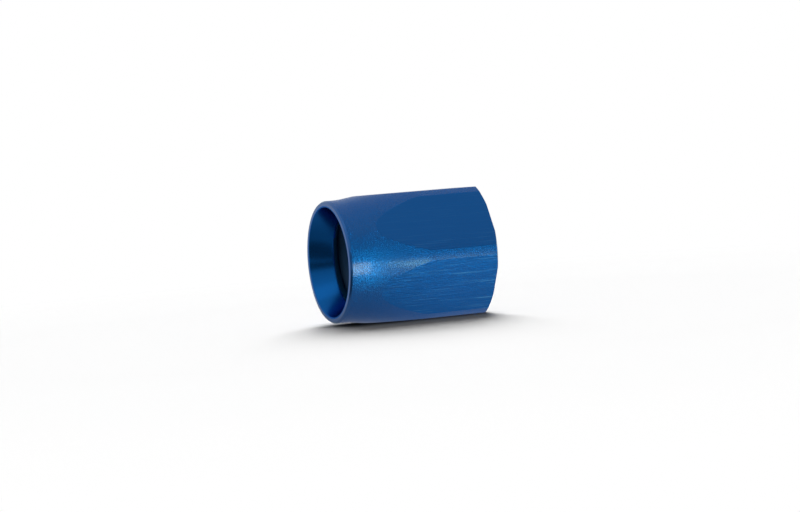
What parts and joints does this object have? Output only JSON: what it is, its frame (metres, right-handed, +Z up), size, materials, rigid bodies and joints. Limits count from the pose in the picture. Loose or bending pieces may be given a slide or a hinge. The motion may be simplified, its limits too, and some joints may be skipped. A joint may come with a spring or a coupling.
{
  "type": "hose end socket",
  "caption": "Blue anodised aluminium hose end socket: a tapered round mouth that takes a braided hose, wrench flats, and a threaded bore for the nipple at the hex end.",
  "frame": {"origin": "on the surface the part lies on, under the middle of its bounding box", "axes": "+X along the bore from the hose mouth to the hex end, +Y sideways through two hexagon corners, +Z up, square to the wrench flat it lies on"},
  "size_m": [0.0214, 0.0194, 0.0175],
  "materials": {
    "blue_anodised": "bead-blasted and anodised blue, satin"
  },
  "bodies": {
    "root": {"hose_socket": "blue_anodised"}
  },
  "joints": []
}
